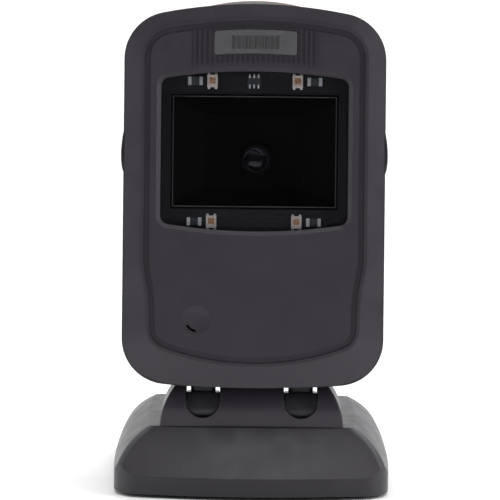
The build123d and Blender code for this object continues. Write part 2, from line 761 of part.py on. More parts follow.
def main_board():
    """The decoder board in the back of the head."""
    tall = MAIN_BOARD_TOP - MAIN_BOARD_BOTTOM
    middle = (MAIN_BOARD_TOP + MAIN_BOARD_BOTTOM) / 2
    board = soft_block(0, middle, 2 * MAIN_BOARD_HALF_WIDTH, tall, MAIN_BOARD_FRONT, MAIN_BOARD_BACK, 3)
    for x, height in MAIN_SCREW_SPOTS:
        board -= rod(x, height, 1.15, MAIN_BOARD_FRONT, MAIN_BOARD_BACK)
    return board


def main_board_chips():
    """Decoder, memory, power and interface chips on the back of the main board."""
    chips = [
        block(0, 74, 14, 14, MAIN_BOARD_BACK, MAIN_BOARD_BACK + 1.3),
        block(-15, 74, 8, 11, MAIN_BOARD_BACK, MAIN_BOARD_BACK + 1.0),
        block(14, 58, 6, 5, MAIN_BOARD_BACK, MAIN_BOARD_BACK + 1.4),
        block(-13, 56, 9, 4, MAIN_BOARD_BACK, MAIN_BOARD_BACK + 1.2),
    ]
    return group(chips)


def main_board_screws():
    """Screws that hold the main board on the rear casing's posts, driven from the front."""
    screws = []
    for x, height in MAIN_SCREW_SPOTS:
        shank = rod(x, height, 0.95, MAIN_BOARD_FRONT, MAIN_BOARD_BACK + 4.5)
        head = rod(x, height, 2.0, MAIN_BOARD_FRONT - 1.3, MAIN_BOARD_FRONT)
        head -= block(x, height, 2.2, 0.5, MAIN_BOARD_FRONT - 1.3, MAIN_BOARD_FRONT - 0.6)
        head -= block(x, height, 0.5, 2.2, MAIN_BOARD_FRONT - 1.3, MAIN_BOARD_FRONT - 0.6)
        screws.append(shank + head)
    return group(screws)


def cable_socket():
    """The host cable's socket: a modular jack facing back, with a notch for the plug's latch."""
    socket = block(0, SOCKET_HEIGHT, SOCKET_WIDTH, SOCKET_TALL, MAIN_BOARD_BACK, SOCKET_MOUTH_DEPTH)
    mouth_front = SOCKET_MOUTH_DEPTH - PLUG_REACH
    mouth_height = SOCKET_HEIGHT + MOUTH_RISE
    socket -= block(0, mouth_height, PLUG_WIDTH, PLUG_TALL, mouth_front, SOCKET_MOUTH_DEPTH)
    socket -= block(0, SOCKET_HEIGHT - 3.2, 4.0, 2.4, mouth_front + 2, SOCKET_MOUTH_DEPTH)
    return socket


def socket_contacts():
    """Ten spring wires along the roof of the socket."""
    contacts = []
    pitch = 1.02
    count = 10
    roof = SOCKET_HEIGHT + MOUTH_RISE + PLUG_TALL / 2
    mouth_front = SOCKET_MOUTH_DEPTH - PLUG_REACH
    for step in range(count):
        x = (step - (count - 1) / 2) * pitch
        contacts.append(block(x, roof - 0.45, 0.4, 0.5, mouth_front + 0.6, SOCKET_MOUTH_DEPTH - 2.4))
    return group(contacts)


def beeper():
    """The round sounder, with a small sound hole in the middle."""
    body = rod(BEEPER_X, BEEPER_HEIGHT, BEEPER_RADIUS, 4.2, 8.8)
    body -= rod(BEEPER_X, BEEPER_HEIGHT, 1.0, 4.2, 5.2)
    return body


def beeper_gasket():
    """The foam ring that seals the sounder against the casing."""
    ring = Pos(BEEPER_X, BEEPER_HEIGHT) * (Circle(BEEPER_RADIUS - 0.1) - Circle(BEEPER_RADIUS - 1.3))
    return slab(ring, FRONT_CAVITY_DEPTH, 4.2)


def casing_screws():
    """Four screws from the back that close the casings together."""
    return group([screw(x, h, 1.2, 2.4, 4.8, CASING_SEAT_DEPTH, 1.8) for x, h in CASING_SCREW_SPOTS])


# ---------------------------------------------------------------- head: triggers

def button_prism(side, growth, inner_x, outer_x):
    """The button's rounded outline filled along X, on the left (-1) or the right (+1)."""
    profile = Pos(BUTTON_DEPTH, BUTTON_HEIGHT) * SlotOverall(
        BUTTON_LENGTH + 2 * growth, BUTTON_WIDTH + 2 * growth, rotation=90
    )
    low_x = min(side * inner_x, side * outer_x)
    return extrude(side_plane(low_x) * profile, outer_x - inner_x)


def trigger_button(side):
    """A side button: it swells slowly from its top end and drops off sharply at its lower end."""
    inner_x = HEAD_HALF_WIDTH - REAR_WALL - 1.2
    flush_x = HEAD_HALF_WIDTH - 0.15
    crown_x = HEAD_HALF_WIDTH + BUTTON_PROUD
    bottom = BUTTON_HEIGHT - BUTTON_LENGTH / 2
    top = BUTTON_HEIGHT + BUTTON_LENGTH / 2
    outline = Polyline((inner_x, top), (inner_x, bottom), (flush_x, bottom))
    crown = (crown_x, bottom + 3.6)
    outline += Spline((flush_x, bottom), crown, (flush_x, top), tangents=[(0.7, 1), (-0.18, 1)])
    outline += Line((flush_x, top), (inner_x, top))
    swell = slab(make_face(outline), 0, BACK_DEPTH)
    button = swell & button_prism(1, 0, inner_x, crown_x + 1)
    flange_x = HEAD_HALF_WIDTH - REAR_WALL - 0.6
    button += button_prism(1, 0.9, flange_x - 0.8, flange_x)
    stem = Pos(BUTTON_DEPTH, BUTTON_HEIGHT) * Circle(1.5)
    button += extrude(side_plane(SWITCH_TIP_X + 0.95) * stem, 3)
    return button if side > 0 else mirror(button, about=Plane.YZ)


def trigger_switches():
    """A tactile switch behind each button."""
    body_x = SWITCH_TIP_X - SWITCH_PLUNGER
    spot = Pos(BUTTON_DEPTH, BUTTON_HEIGHT)
    body = extrude(side_plane(body_x - SWITCH_BODY) * (spot * Rectangle(6, 6)), SWITCH_BODY)
    plunger = extrude(side_plane(body_x) * (spot * Circle(1.7)), SWITCH_PLUNGER)
    return mirrored_pair(body + plunger)


def switch_boards():
    """The two small boards that carry the switches, held between ribs."""
    face_x = SWITCH_TIP_X - SWITCH_PLUNGER - SWITCH_BODY
    profile = Pos(13.5, BUTTON_HEIGHT) * Rectangle(7.2, 19)
    return mirrored_pair(extrude(side_plane(face_x - 1.2) * profile, 1.2))


# ---------------------------------------------------------------- head: legs

def leg_bracket():
    """The plate inside the head with two legs that end in flat-topped drums round the shaft."""
    plate_middle = LEG_SEAT_HEIGHT + LEG_PLATE_THICKNESS / 2
    plate_top = LEG_SEAT_HEIGHT + LEG_PLATE_THICKNESS
    bracket = block(0, plate_middle, 47, LEG_PLATE_THICKNESS, PIVOT_DEPTH - 6, PIVOT_DEPTH + 6)
    leg_top = HEAD_BOTTOM_Z + plate_middle
    for x in both_sides([LEG_X]):
        profile = Pos(x, PIVOT_Y) * RectangleRounded(LEG_WIDTH, LEG_THICKNESS, 1.5)
        bracket += layer(profile, PIVOT_Z, leg_top)
        drum = cross_bar(DRUM_RADIUS, x - DRUM_WIDTH / 2, x + DRUM_WIDTH / 2)
        drum -= Pos(x, PIVOT_Y, PIVOT_Z + DRUM_FLAT + 5) * Box(DRUM_WIDTH + 1, 2 * DRUM_RADIUS, 10)
        bracket += drum
        bracket -= cross_bar(SHAFT_RADIUS + 0.05, x - DRUM_WIDTH / 2, x + DRUM_WIDTH / 2)
    for x, depth in bracket_screw_spots():
        bracket -= upright_rod(x, depth, 1.4, LEG_SEAT_HEIGHT, plate_top)
    return bracket


def leg_bracket_screws():
    """Screws that hold the leg bracket down on the rear casing's floor."""
    plate_top = LEG_SEAT_HEIGHT + LEG_PLATE_THICKNESS
    screws = []
    for x, depth in bracket_screw_spots():
        shank = upright_rod(x, depth, 1.2, LEG_SCREW_TIP, plate_top)
        head = upright_rod(x, depth, 2.3, plate_top, plate_top + 1.5)
        screws.append(shank + head)
    return group(screws)


# ---------------------------------------------------------------- stand: tilt joint

def barrel_body(inset):
    """The barrel over the pivot: an arch along X with bowed ends, pulled in by inset."""
    radius = BARREL_RADIUS - inset
    half_length = BARREL_HALF_LENGTH - inset
    foot = STAND_TOP_Z - PIVOT_Z - 3
    arch = Line((-radius, foot), (-radius, 0))
    arch += ThreePointArc((-radius, 0), (0, radius), (radius, 0))
    arch += Polyline((radius, 0), (radius, foot), (-radius, foot))
    side = Plane(origin=(-half_length, PIVOT_Y, PIVOT_Z), x_dir=(0, 1, 0), z_dir=(1, 0, 0))
    barrel = extrude(side * make_face(arch), 2 * half_length) & barrel_ends(half_length)
    if inset:
        return barrel
    rims = barrel.faces().filter_by(GeomType.CYLINDER).sort_by(Axis.Z)[-1].edges()
    rims = [edge for edge in rims if abs(edge.center().X) > half_length / 2]
    return fillet(rims, BARREL_END_ROUNDING)


def barrel_ends(half_length):
    """The space between two bowed ends that stand upright at the roof and lean in above it."""
    reach = radians(56)
    centre_x = half_length - BARREL_END_RADIUS
    middle = (centre_x + BARREL_END_RADIUS * cos(reach / 2), BARREL_END_RADIUS * sin(reach / 2))
    tip = (centre_x + BARREL_END_RADIUS * cos(reach), BARREL_END_RADIUS * sin(reach))
    outline = Line((half_length, -4), (half_length, 0))
    outline += ThreePointArc((half_length, 0), middle, tip)
    outline += Line(tip, (-tip[0], tip[1]))
    outline += ThreePointArc((-tip[0], tip[1]), (-middle[0], middle[1]), (-half_length, 0))
    outline += Polyline((-half_length, 0), (-half_length, -4), (half_length, -4))
    depth = 2 * BARREL_RADIUS + 2
    front = Plane(origin=(0, PIVOT_Y + depth / 2, STAND_TOP_Z), x_dir=(1, 0, 0), z_dir=(0, -1, 0))
    return extrude(front * make_face(outline), depth)


def neck_shroud():
    """The cover over the tilt joint: a barrel with a slot for each leg, clipped into the stand."""
    shroud = barrel_body(0) - barrel_body(BARREL_WALL)
    below = Pos(0, PIVOT_Y, STAND_TOP_Z - 20) * Box(80, 40, 40)
    shroud -= below
    for x in both_sides([LEG_X]):
        shroud -= leg_slot(x)
    for side in (-1, 1):
        shroud += clip_hook(side)
    return shroud


def clip_hook(side):
    """A hook that snaps under the roof at the opening's front (-1) or back (+1) edge."""
    width = 6.0
    root = Pos(0, PIVOT_Y + side * 6.8, STAND_TOP_Z + 0.8) * Box(width, 2.5, 1.6)
    hook = Pos(0, PIVOT_Y + side * 6.0, STAND_TOP_Z - 0.7) * Box(width, 0.9, 4.6)
    barb = Pos(0, PIVOT_Y + side * 6.7, STAND_TOP_Z - 2.9) * Box(width, 1.4, 1.0)
    return root + hook + barb


def leg_slot(x):
    """A slot over the barrel from front to back, with half-round ends low on both sides."""
    end_radius = SLOT_WIDTH / 2
    end_z = SLOT_BOTTOM_Z + end_radius
    slot = Pos(x, PIVOT_Y, end_z + 10) * Box(SLOT_WIDTH, 2 * BARREL_RADIUS + 2, 20)
    ends = Plane(origin=(x, PIVOT_Y - BARREL_RADIUS - 1, end_z), x_dir=(1, 0, 0), z_dir=(0, 1, 0))
    return slot + extrude(ends * Circle(end_radius), 2 * BARREL_RADIUS + 2)


def pivot_shaft():
    """The steel shaft, with a round head at its left end."""
    shaft = cross_bar(SHAFT_RADIUS, -SHAFT_SHOULDER_X, SHAFT_SHOULDER_X + SHAFT_END_PIECE)
    return shaft + cross_bar(3.2, -SHAFT_SHOULDER_X - SHAFT_END_PIECE, -SHAFT_SHOULDER_X)


def shaft_nut():
    """The hexagon lock nut on the right end of the shaft."""
    plane = Plane(origin=(SHAFT_SHOULDER_X, PIVOT_Y, PIVOT_Z), x_dir=(0, 1, 0), z_dir=(1, 0, 0))
    nut = extrude(plane * RegularPolygon(3.3, 6), SHAFT_END_PIECE - 0.1)
    return nut - cross_bar(SHAFT_RADIUS + 0.02, SHAFT_SHOULDER_X, SHAFT_SHOULDER_X + SHAFT_END_PIECE)


def friction_washers():
    """Spring washers squeezed between the drums and the bracket's ears."""
    washers = []
    for x in both_sides([LEG_X]):
        for side in (-1, 1):
            inner_x = x + side * (DRUM_WIDTH / 2 + 0.05)
            low_x = min(inner_x, inner_x + side * WASHER_THICKNESS)
            high_x = low_x + WASHER_THICKNESS
            washer = cross_bar(5.0, low_x, high_x)
            washers.append(washer - cross_bar(SHAFT_RADIUS + 0.05, low_x, high_x))
    return group(washers)


def pivot_bracket():
    """The folded steel bracket in the stand: a floor and four ears that carry the shaft."""
    thickness = 1.5
    ear_radius = 4.4
    bracket = layer(
        Pos(0, PIVOT_Y + BRACKET_SHIFT) * RectangleRounded(61, 14.5, 3),
        BRACKET_FLOOR_Z,
        BRACKET_FLOOR_TOP_Z,
    )
    for x in both_sides([LEG_X]):
        for side in (-1, 1):
            inner_x = x + side * (DRUM_WIDTH / 2 + WASHER_THICKNESS + 0.1)
            low_x = min(inner_x, inner_x + side * thickness)
            ear = cross_bar(ear_radius, low_x, low_x + thickness)
            ear += Pos(low_x + thickness / 2, PIVOT_Y, (BRACKET_FLOOR_TOP_Z + PIVOT_Z) / 2) * Box(
                thickness, 2 * ear_radius, PIVOT_Z - BRACKET_FLOOR_TOP_Z
            )
            ear -= cross_bar(SHAFT_RADIUS + 0.03, low_x, low_x + thickness)
            bracket += ear
    for x, y in pivot_bracket_spots():
        bracket -= layer(Pos(x, y) * Circle(1.4), BRACKET_FLOOR_Z, BRACKET_FLOOR_TOP_Z)
    return bracket


def pivot_bracket_spots():
    """The four screws that hold the pivot bracket up under the stand's roof."""
    return [(x, PIVOT_Y + BRACKET_SHIFT + y) for x in both_sides([27.0]) for y in (-4.0, 4.0)]


def pivot_bracket_screws():
    """Screws driven up through the bracket's floor."""
    screws = []
    for x, y in pivot_bracket_spots():
        shank = layer(Pos(x, y) * Circle(1.1), BRACKET_FLOOR_Z, STAND_TOP_Z - 1.1)
        head = layer(Pos(x, y) * Circle(2.1), BRACKET_FLOOR_Z - 1.4, BRACKET_FLOOR_Z)
        screws.append(shank + head)
    return group(screws)


# ---------------------------------------------------------------- stand: shell, plate, weight, feet

def stand_outline(half_width, front_y, back_y, front_bow):
    """The stand's plan with sharp corners: the front edge bowed forwards, the others bowed less."""
    side_bow = 1.2
    back_bow = 2.0
    side_x = half_width - side_bow
    low = front_y + front_bow
    high = back_y - back_bow
    middle = (low + high) / 2
    outline = ThreePointArc((-side_x, low), (0, front_y), (side_x, low))
    outline += ThreePointArc((side_x, low), (half_width, middle), (side_x, high))
    outline += ThreePointArc((side_x, high), (0, back_y), (-side_x, high))
    outline += ThreePointArc((-side_x, high), (-half_width, middle), (-side_x, low))
    return make_face(outline)


def stand_section(level, inset):
    """The stand's section between the skirt (level 0) and the roof (level 1), with sharp corners."""
    half_width = TOP_HALF_WIDTH + (STAND_HALF_WIDTH - TOP_HALF_WIDTH) * (1 - level ** 1.8)
    front_y = -STAND_HALF_DEPTH + (STAND_HALF_DEPTH + TOP_FRONT_Y) * level
    back_y = STAND_HALF_DEPTH - (STAND_HALF_DEPTH - TOP_BACK_Y) * level ** 1.3
    front_bow = SKIRT_FRONT_BOW - (SKIRT_FRONT_BOW - ROOF_FRONT_BOW) * level
    return stand_outline(half_width - inset, front_y + inset, back_y - inset, front_bow)


def stand_plan(inset):
    """The skirt's plan, with its corners rounded."""
    outline = stand_section(0, inset)
    return fillet(outline.vertices(), STAND_CORNER - inset / 2)


def stand_body(inset, roof_z):
    """The stand's filled shape: an upright skirt, then walls that lean in to the roof."""
    sections = []
    for level in (0, 0.5, 1):
        z = SKIRT_TOP_Z + (roof_z - SKIRT_TOP_Z) * level
        sections.append(Plane.XY.offset(z) * stand_section(level, inset))
    walls = loft(sections)
    middle_z = (SKIRT_TOP_Z + roof_z) / 2
    ridges = [edge for edge in walls.edges() if abs(edge.center().Z - middle_z) < 2]
    walls = fillet(ridges, RIDGE_RADIUS)
    plan = stand_plan(inset)
    return layer(plan, FOOT_PROUD, SKIRT_TOP_Z) + (walls & layer(plan, SKIRT_TOP_Z, roof_z))


def stand_screw_spots():
    """The four screws that hold the base plate on."""
    return [(x, y) for x in both_sides([28.5]) for y in (-27.5, 27.5)]


def foot_spots():
    """The four rubber feet."""
    return [(x, y) for x in both_sides([29.0]) for y in (-15.0, 16.0)]


def base_shell():
    """The stand's visible shell, open below, with an opening in the roof for the tilt joint."""
    outer = stand_body(0, STAND_TOP_Z)
    outer = fillet(outer.faces().sort_by(Axis.Z)[-1].edges(), ROOF_EDGE_RADIUS)
    shell = outer - stand_body(STAND_WALL, STAND_TOP_Z - STAND_WALL)

    posts = None
    for x, y in stand_screw_spots():
        post = layer(Pos(x, y) * Circle(3.4), POST_FOOT_Z, STAND_TOP_Z)
        posts = post if posts is None else posts + post
    for x, y in pivot_bracket_spots():
        posts += layer(Pos(x, y) * Circle(2.6), BRACKET_FLOOR_TOP_Z, STAND_TOP_Z)
    shell += posts & outer

    for x, y in stand_screw_spots():
        shell -= layer(Pos(x, y) * Circle(1.25), POST_FOOT_Z, BASE_SCREW_TIP_Z + 0.5)
    for x, y in pivot_bracket_spots():
        shell -= layer(Pos(x, y) * Circle(1.15), BRACKET_FLOOR_TOP_Z, STAND_TOP_Z - 1.0)
    opening = Pos(0, PIVOT_Y) * RectangleRounded(47.4, 13.2, 1)
    shell -= layer(opening, BRACKET_FLOOR_Z + 1, STAND_TOP_Z + 1)
    return shell


def base_plate():
    """The flat cover that closes the stand, with countersunk screw holes and seats for the feet."""
    bottom_z = FOOT_PROUD
    top_z = bottom_z + BASE_PLATE_THICKNESS
    plate = layer(stand_plan(STAND_WALL + 0.2), bottom_z, top_z)
    for x, y in stand_screw_spots():
        plate -= layer(Pos(x, y) * Circle(1.4), bottom_z, top_z)
        plate -= layer(Pos(x, y) * Circle(2.6), bottom_z, bottom_z + 1.2)
    for x, y in foot_spots():
        seat = Pos(x, y) * SlotOverall(FOOT_LENGTH + 0.2, FOOT_WIDTH + 0.2, rotation=90)
        plate -= layer(seat, bottom_z, bottom_z + FOOT_SEAT_DEPTH)
    return plate


def base_screws():
    """Four screws up through the base plate into the shell's posts."""
    screws = []
    bottom_z = FOOT_PROUD
    for x, y in stand_screw_spots():
        head = layer(Pos(x, y) * Circle(2.4), bottom_z + 0.1, bottom_z + 1.2)
        for turn in (0, 90):
            head -= layer(Pos(x, y) * Rectangle(2.6, 0.6, rotation=turn), bottom_z + 0.1, bottom_z + 0.7)
        shank = layer(Pos(x, y) * Circle(1.2), bottom_z + 1.2, BASE_SCREW_TIP_Z)
        screws.append(head + shank)
    return group(screws)


def ballast_weight():
    """The steel block that keeps the stand from tipping."""
    weight = layer(RectangleRounded(50, 62, 4), POST_FOOT_Z, POST_FOOT_Z + 8)
    return chamfer(weight.faces().sort_by(Axis.Z)[-1].edges(), 0.8)


def rubber_feet():
    """Four rubber pads, a little proud of the base plate."""
    feet = []
    for x, y in foot_spots():
        outline = Pos(x, y) * SlotOverall(FOOT_LENGTH, FOOT_WIDTH, rotation=90)
        pad = layer(outline, 0, FOOT_PROUD + FOOT_SEAT_DEPTH)
        feet.append(chamfer(pad.faces().sort_by(Axis.Z)[0].edges(), 0.4))
    return group(feet)


# ---------------------------------------------------------------- write every node

HEAD_NODES = {
    "front_casing": front_casing,
    "rear_casing": rear_casing,
    "scan_window": scan_window,
    "window_gasket": window_gasket,
    "nameplate": nameplate,
    "indicator_light_pipe": indicator_light_pipe,
    "status_led": status_led,
    "illumination_board": illumination_board,
    "illumination_leds": illumination_leds,
    "led_resistors": led_resistors,
    "light_sensor_chip": light_sensor_chip,
    "aperture_frame": aperture_frame,
    "board_screws": board_screws,
    "camera_housing": camera_housing,
    "lens_barrel": lens_barrel,
    "lens_glass": lens_glass,
    "image_sensor": image_sensor,
    "engine_board": engine_board,
    "engine_screws": engine_screws,
    "flex_cable": flex_cable,
    "main_board": main_board,
    "main_board_chips": main_board_chips,
    "main_board_screws": main_board_screws,
    "cable_socket": cable_socket,
    "socket_contacts": socket_contacts,
    "beeper": beeper,
    "beeper_gasket": beeper_gasket,
    "casing_screws": casing_screws,
    "trigger_switches": trigger_switches,
    "switch_boards": switch_boards,
    "leg_bracket": leg_bracket,
    "leg_bracket_screws": leg_bracket_screws,
}

STAND_NODES = {
    "neck_shroud": neck_shroud,
    "pivot_shaft": pivot_shaft,
    "shaft_nut": shaft_nut,
    "friction_washers": friction_washers,
    "pivot_bracket": pivot_bracket,
    "pivot_bracket_screws": pivot_bracket_screws,
    "base_shell": base_shell,
    "base_plate": base_plate,
    "base_screws": base_screws,
    "ballast_weight": ballast_weight,
    "rubber_feet": rubber_feet,
}

for name, build in STAND_NODES.items():
    save(build(), name)

for name, build in HEAD_NODES.items():
    save(leaned(build()), name)

save(leaned(trigger_button(-1)), "left_trigger_button")
save(leaned(trigger_button(1)), "right_trigger_button")
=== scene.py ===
"""The looks of a presentation barcode scanner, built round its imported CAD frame, in metres."""

import json
from math import atan2, cos, radians, sin

import bmesh
import bpy
from mathutils import Matrix, Vector


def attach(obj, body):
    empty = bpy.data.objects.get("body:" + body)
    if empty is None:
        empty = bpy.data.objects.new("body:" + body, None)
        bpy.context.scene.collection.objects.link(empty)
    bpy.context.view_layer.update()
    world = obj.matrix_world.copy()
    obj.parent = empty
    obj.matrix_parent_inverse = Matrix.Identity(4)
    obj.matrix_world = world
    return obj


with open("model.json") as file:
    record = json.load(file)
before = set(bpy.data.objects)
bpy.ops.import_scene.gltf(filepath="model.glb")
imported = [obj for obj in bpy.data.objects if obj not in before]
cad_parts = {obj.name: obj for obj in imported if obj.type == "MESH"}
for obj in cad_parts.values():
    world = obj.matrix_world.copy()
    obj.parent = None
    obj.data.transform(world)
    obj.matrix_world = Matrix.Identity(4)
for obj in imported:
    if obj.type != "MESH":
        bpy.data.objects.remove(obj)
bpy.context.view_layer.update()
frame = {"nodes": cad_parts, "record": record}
NODES = frame["nodes"]
MM = 0.001

# ---------------------------------------------------------------- places taken from the frame

def head_lean():
    """How far the head leans back at rest, from the slope of its cable socket's axis."""
    port = next(mount for mount in frame["record"]["mounts"] if mount["name"] == "cable_port")
    axis = Vector(port["axis"])
    return atan2(-axis.z, axis.y)


LEAN = head_lean()
HEAD_RIGHT = Vector((1, 0, 0))
HEAD_BACK = Vector((0, cos(LEAN), -sin(LEAN)))
HEAD_UP = Vector((0, sin(LEAN), cos(LEAN)))
HEAD_TURN = Matrix((HEAD_RIGHT, HEAD_BACK, HEAD_UP)).transposed()


def in_head(point):
    """A point given in the head's own directions: right, back and up."""
    return HEAD_TURN.transposed() @ point


def span_of(corners):
    """The lowest and highest corners of a set of points."""
    low = Vector([min(c[i] for c in corners) for i in range(3)])
    high = Vector([max(c[i] for c in corners) for i in range(3)])
    return low, high


def head_span(node):
    """A node's lowest and highest corners in the head's own directions."""
    return span_of([in_head(v.co) for v in NODES[node].data.vertices])


def solids_of(node):
    """The separate solids of a CAD node, each as its low and high corner in the head's directions."""
    mesh = NODES[node].data
    parent = list(range(len(mesh.vertices)))

    def root(i):
        while parent[i] != i:
            parent[i] = parent[parent[i]]
            i = parent[i]
        return i

    places = {}
    for vertex in mesh.vertices:
        key = tuple(round(c, 6) for c in vertex.co)
        first = places.setdefault(key, vertex.index)
        parent[root(vertex.index)] = root(first)
    for edge in mesh.edges:
        parent[root(edge.vertices[0])] = root(edge.vertices[1])
    groups = {}
    for vertex in mesh.vertices:
        groups.setdefault(root(vertex.index), []).append(in_head(vertex.co))
    spans = [span_of(corners) for corners in groups.values()]
    return sorted(spans, key=lambda span: (round(span[0].z, 4), round(span[0].x, 4)))


# ---------------------------------------------------------------- material helpers

class Paint:
    """A material being built: its principled shader and short names for the nodes it needs."""

    def __init__(self, name, colour, roughness, metallic=0.0):
        self.material = bpy.data.materials.new(name)
        self.material.use_nodes = True
        self.tree = self.material.node_tree
        self.shader = self.tree.nodes["Principled BSDF"]
        self.shader.inputs["Base Color"].default_value = (*colour, 1)
        self.shader.inputs["Roughness"].default_value = roughness
        self.shader.inputs["Metallic"].default_value = metallic
        self.colour = colour
        self.roughness = roughness
        self.place = self.node("ShaderNodeTexCoord").outputs["Object"]

    def node(self, kind, **settings):
        made = self.tree.nodes.new(kind)
        for key, value in settings.items():
            setattr(made, key, value)
        return made

    def join(self, source, target):
        self.tree.links.new(source, target)

    def set(self, **sockets):
        """Plain values on the shader's own sockets, with underscores for spaces."""
        for key, value in sockets.items():
            self.shader.inputs[key.replace("_", " ")].default_value = value

    def noise(self, size, detail=2.0, rough=0.5, stretch=(1, 1, 1)):
        """A noise whose blobs are about size metres across; stretch lengthens them along an axis."""
        mapping = self.node("ShaderNodeMapping")
        mapping.inputs["Scale"].default_value = [1 / s for s in stretch]
        self.join(self.place, mapping.inputs["Vector"])
        made = self.node("ShaderNodeTexNoise")
        made.inputs["Scale"].default_value = 1 / size
        made.inputs["Detail"].default_value = detail
        made.inputs["Roughness"].default_value = rough
        self.join(mapping.outputs["Vector"], made.inputs["Vector"])
        return made.outputs["Fac"]

    def spread(self, value, low, high, from_low=0.3, from_high=0.7):
        """A 0 to 1 pattern stretched over a range of values."""
        made = self.node("ShaderNodeMapRange")
        made.inputs["From Min"].default_value = from_low
        made.inputs["From Max"].default_value = from_high
        made.inputs["To Min"].default_value = low
        made.inputs["To Max"].default_value = high
        self.join(value, made.inputs["Value"])
        return made.outputs["Result"]

    def blend(self, factor, first, second):
        """A colour between two, by a pattern; each may be a colour or another output."""
        made = self.node("ShaderNodeMix", data_type="RGBA")
        self.join(factor, made.inputs["Factor"])
        for name, value in (("A", first), ("B", second)):
            socket = next(s for s in made.inputs if s.name == name and s.type == "RGBA")
            if isinstance(value, tuple):
                socket.default_value = (*value, 1)
            else:
                self.join(value, socket)
        return next(s for s in made.outputs if s.type == "RGBA")

    def tint(self, factor, amount):
        """The base colour made lighter and darker by a pattern."""
        darker = tuple(c * (1 - amount) for c in self.colour)
        lighter = tuple(c * (1 + amount) for c in self.colour)
        colour = self.blend(factor, darker, lighter)
        self.join(colour, self.shader.inputs["Base Color"])
        return colour

    def gloss(self, pattern, amount):
        """Roughness varied about its own value by a pattern."""
        low = max(0.02, self.roughness - amount)
        varied = self.spread(pattern, low, min(1.0, self.roughness + amount))
        self.join(varied, self.shader.inputs["Roughness"])

    def bump(self, height, depth, strength=1.0, below=None):
        """Relief of the given depth in metres; below is an earlier bump to lay it over."""
        made = self.node("ShaderNodeBump")
        made.inputs["Distance"].default_value = depth
        made.inputs["Strength"].default_value = strength
        self.join(height, made.inputs["Height"])
        if below is not None:
            self.join(below, made.inputs["Normal"])
        self.join(made.outputs["Normal"], self.shader.inputs["Normal"])
        return made.outputs["Normal"]


def textured_plastic(name, colour, roughness, grain=0.35 * MM, depth=0.022 * MM):
    """Moulded plastic with spark-eroded grain, faint flow marks and rubbed patches."""
    paint = Paint(name, colour, roughness)
    flow = paint.noise(22 * MM, detail=3)
    rubbed = paint.noise(6 * MM, detail=5, rough=0.6)
    fine = paint.noise(grain, detail=2, rough=0.6)
    paint.tint(paint.spread(flow, 0.25, 0.75), 0.10)
    paint.gloss(rubbed, 0.07)
    paint.bump(fine, depth, 0.8)
    paint.set(Specular_IOR_Level=0.4)
    return paint.material


def smooth_plastic(name, colour, roughness, shine=0.4):
    """Plain moulded plastic: a satin face with a slight ripple and fine scuffs."""
    paint = Paint(name, colour, roughness)
    paint.set(Specular_IOR_Level=shine)
    ripple = paint.noise(4 * MM, detail=2)
    scuff = paint.noise(0.6 * MM, detail=4, rough=0.7, stretch=(1, 1, 6))
    paint.tint(paint.spread(ripple, 0, 1), 0.12)
    paint.gloss(scuff, 0.08)
    paint.bump(ripple, 0.02 * MM, 0.6)
    return paint.material


def brushed_metal(name, colour, roughness, lengthwise=(30, 1, 1)):
    """Plated or machined metal with fine lines along one axis."""
    paint = Paint(name, colour, roughness, metallic=1.0)
    lines = paint.noise(0.25 * MM, detail=3, rough=0.6, stretch=lengthwise)
    patina = paint.noise(5 * MM, detail=4)
    paint.tint(paint.spread(patina, 0, 1), 0.12)
    paint.gloss(lines, 0.10)
    paint.bump(lines, 0.012 * MM, 0.6)
    return paint.material


def cast_metal(name, colour, roughness):
    """A rough casting with a pitted skin."""
    paint = Paint(name, colour, roughness, metallic=0.8)
    skin = paint.noise(0.7 * MM, detail=4, rough=0.6)
    stain = paint.noise(9 * MM, detail=3)
    paint.tint(paint.spread(stain, 0, 1), 0.25)
    paint.gloss(skin, 0.10)
    paint.bump(skin, 0.12 * MM, 0.9)
    return paint.material


def rubber(name, colour, roughness):
    """Matt rubber or foam, slightly dusty in its pores."""
    paint = Paint(name, colour, roughness)
    pores = paint.noise(0.5 * MM, detail=3, rough=0.6)
    dust = paint.noise(5 * MM, detail=4)
    dusty = tuple(min(1, c * 2.4 + 0.01) for c in colour)
    mixed = paint.blend(paint.spread(dust, 0, 0.5), colour, dusty)
    paint.join(mixed, paint.shader.inputs["Base Color"])
    paint.bump(pores, 0.05 * MM, 0.8)
    paint.gloss(dust, 0.06)
    paint.set(Specular_IOR_Level=0.3)
    return paint.material


def circuit_board(name, colour, copper):
    """Solder mask over fine copper tracks and weave."""
    paint = Paint(name, colour, 0.38)
    weave = paint.noise(0.35 * MM, detail=2)
    tracks = paint.node("ShaderNodeTexBrick")
    tracks.inputs["Scale"].default_value = 1.0
    tracks.inputs["Mortar Size"].default_value = 0.12 * MM
    tracks.inputs["Brick Width"].default_value = 5.2 * MM
    tracks.inputs["Row Height"].default_value = 1.3 * MM
    turn = paint.node("ShaderNodeMapping")
    turn.inputs["Rotation"].default_value = (radians(90), 0, 0)
    paint.join(paint.place, turn.inputs["Vector"])
    paint.join(turn.outputs["Vector"], tracks.inputs["Vector"])
    mixed = paint.blend(tracks.outputs["Fac"], colour, copper)
    paint.join(mixed, paint.shader.inputs["Base Color"])
    low = paint.bump(tracks.outputs["Fac"], 0.03 * MM, 0.7)
    paint.bump(weave, 0.01 * MM, 0.6, below=low)
    paint.gloss(weave, 0.06)
    paint.set(Coat_Weight=0.3, Coat_Roughness=0.25)
    return paint.material


